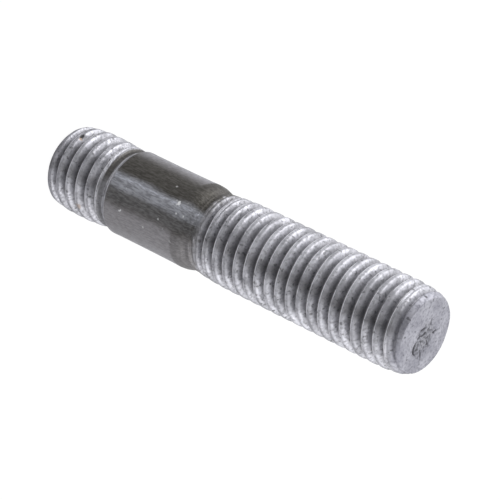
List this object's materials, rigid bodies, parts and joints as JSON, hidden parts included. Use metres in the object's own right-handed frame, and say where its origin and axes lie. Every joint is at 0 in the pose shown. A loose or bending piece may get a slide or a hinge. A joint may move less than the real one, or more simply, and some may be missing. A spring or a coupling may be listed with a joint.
{
  "type": "double ended stud",
  "caption": "Double ended stud with a short metal end, a plain shank and a long nut end, both with rolled coarse threads.",
  "frame": {"origin": "centre of the metal end's flat face, where the stud stands", "axes": "+Z along the stud's axis, from the metal end to the nut end; -Y is the side that the picture shows"},
  "size_m": [0.012, 0.012, 0.06],
  "materials": {
    "steel": "dull as-rolled steel, pale worn crests on the threads, dark smooth shank with small nicks"
  },
  "bodies": {
    "root": {"stud": "steel"}
  },
  "joints": []
}
